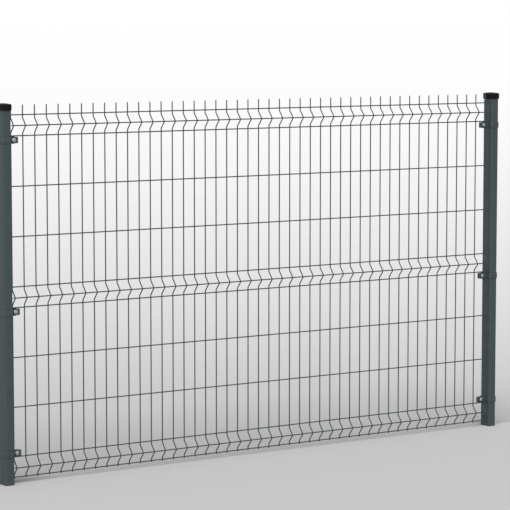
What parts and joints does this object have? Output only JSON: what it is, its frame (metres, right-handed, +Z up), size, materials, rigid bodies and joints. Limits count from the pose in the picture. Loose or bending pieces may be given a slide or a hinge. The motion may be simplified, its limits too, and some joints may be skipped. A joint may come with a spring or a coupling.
{
  "type": "welded mesh fence panel",
  "caption": "Bay of rigid welded mesh fencing with pressed V folds, held between capped rectangular posts by bolted strap clamps.",
  "frame": {"origin": "centre of the left post's foot, on the ground", "axes": "+X along the fence from the left post to the right post, +Y away from the side that the folds point to, +Z up"},
  "size_m": [2.5924, 0.0684, 1.5655],
  "materials": {
    "powder_coat": "satin anthracite powder coat with a fine texture",
    "cap_plastic": "moulded black plastic, lightly textured",
    "insert_rubber": "matt black rubber",
    "zinc_steel": "bright zinc plated steel"
  },
  "bodies": {
    "root": {"post_left": "powder_coat", "cap_left": "cap_plastic", "mesh_left": "powder_coat", "strap_left_bottom": "powder_coat", "insert_left_bottom": "insert_rubber", "bolt_left_bottom": "zinc_steel", "nut_left_bottom": "zinc_steel", "strap_left_middle": "powder_coat", "insert_left_middle": "insert_rubber", "bolt_left_middle": "zinc_steel", "nut_left_middle": "zinc_steel", "strap_left_top": "powder_coat", "insert_left_top": "insert_rubber", "bolt_left_top": "zinc_steel", "nut_left_top": "zinc_steel", "post_right": "powder_coat", "cap_right": "cap_plastic", "mesh_right": "powder_coat", "strap_right_bottom": "powder_coat", "insert_right_bottom": "insert_rubber", "bolt_right_bottom": "zinc_steel", "nut_right_bottom": "zinc_steel", "strap_right_middle": "powder_coat", "insert_right_middle": "insert_rubber", "bolt_right_middle": "zinc_steel", "nut_right_middle": "zinc_steel", "strap_right_top": "powder_coat", "insert_right_top": "insert_rubber", "bolt_right_top": "zinc_steel", "nut_right_top": "zinc_steel"}
  },
  "joints": []
}
